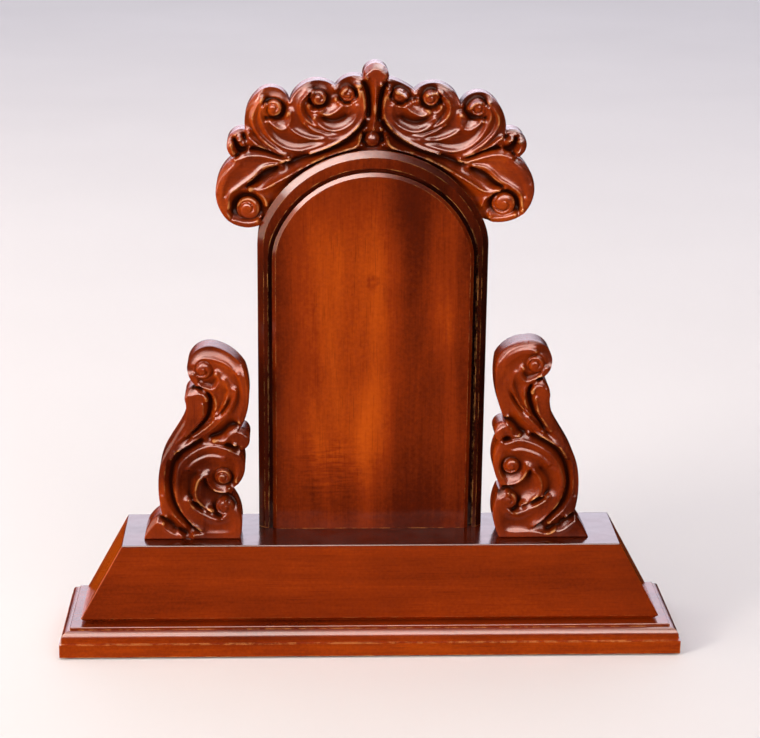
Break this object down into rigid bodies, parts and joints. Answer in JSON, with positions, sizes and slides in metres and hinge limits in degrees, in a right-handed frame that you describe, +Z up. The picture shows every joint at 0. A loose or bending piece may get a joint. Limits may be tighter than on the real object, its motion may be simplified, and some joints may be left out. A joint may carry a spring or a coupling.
{
  "type": "memento plaque stand",
  "caption": "Free-standing carved wooden memento: a tapered block on a moulded plinth carries an arched panel with a raised blank tablet, a carved scroll crest and scroll brackets at its sides.",
  "frame": {"origin": "on the surface it stands on, at the middle of the plinth in plan (bottom centre of the bounding box)", "axes": "+Z up, -Y towards the front (the side that shows the tablet and the carving), +X to the right as seen from the front"},
  "size_m": [0.3, 0.061, 0.2814],
  "materials": {
    "plinth_wood": "gloss red-brown lacquer, darker at the edges and in the hollows",
    "block_wood": "gloss red-brown lacquer, darker at the edges and in the hollows",
    "panel_wood": "gloss red-brown lacquer, darker at the edges and in the hollows",
    "tablet_wood": "gloss red-brown lacquer, darker at the edges and in the hollows",
    "crest_wood": "gloss red-brown lacquer, darker at the edges and in the hollows",
    "bracket_wood": "gloss red-brown lacquer, darker at the edges and in the hollows",
    "dowel_wood": "bare beech",
    "screw_steel": "zinc plated",
    "pad_felt": "dark green pressed felt"
  },
  "bodies": {
    "root": {"plinth_board": "plinth_wood", "base_block": "block_wood", "arched_panel": "panel_wood", "name_tablet": "tablet_wood", "carved_crest": "crest_wood", "scroll_bracket_left": "bracket_wood", "scroll_bracket_right": "bracket_wood", "plinth_screws": "screw_steel", "panel_screws": "screw_steel", "crest_dowel_left": "dowel_wood", "crest_dowel_middle": "dowel_wood", "crest_dowel_right": "dowel_wood", "left_bracket_dowel_inner": "dowel_wood", "left_bracket_dowel_outer": "dowel_wood", "right_bracket_dowel_inner": "dowel_wood", "right_bracket_dowel_outer": "dowel_wood", "felt_pad_front_left": "pad_felt", "felt_pad_back_left": "pad_felt", "felt_pad_front_right": "pad_felt", "felt_pad_back_right": "pad_felt"}
  },
  "joints": []
}
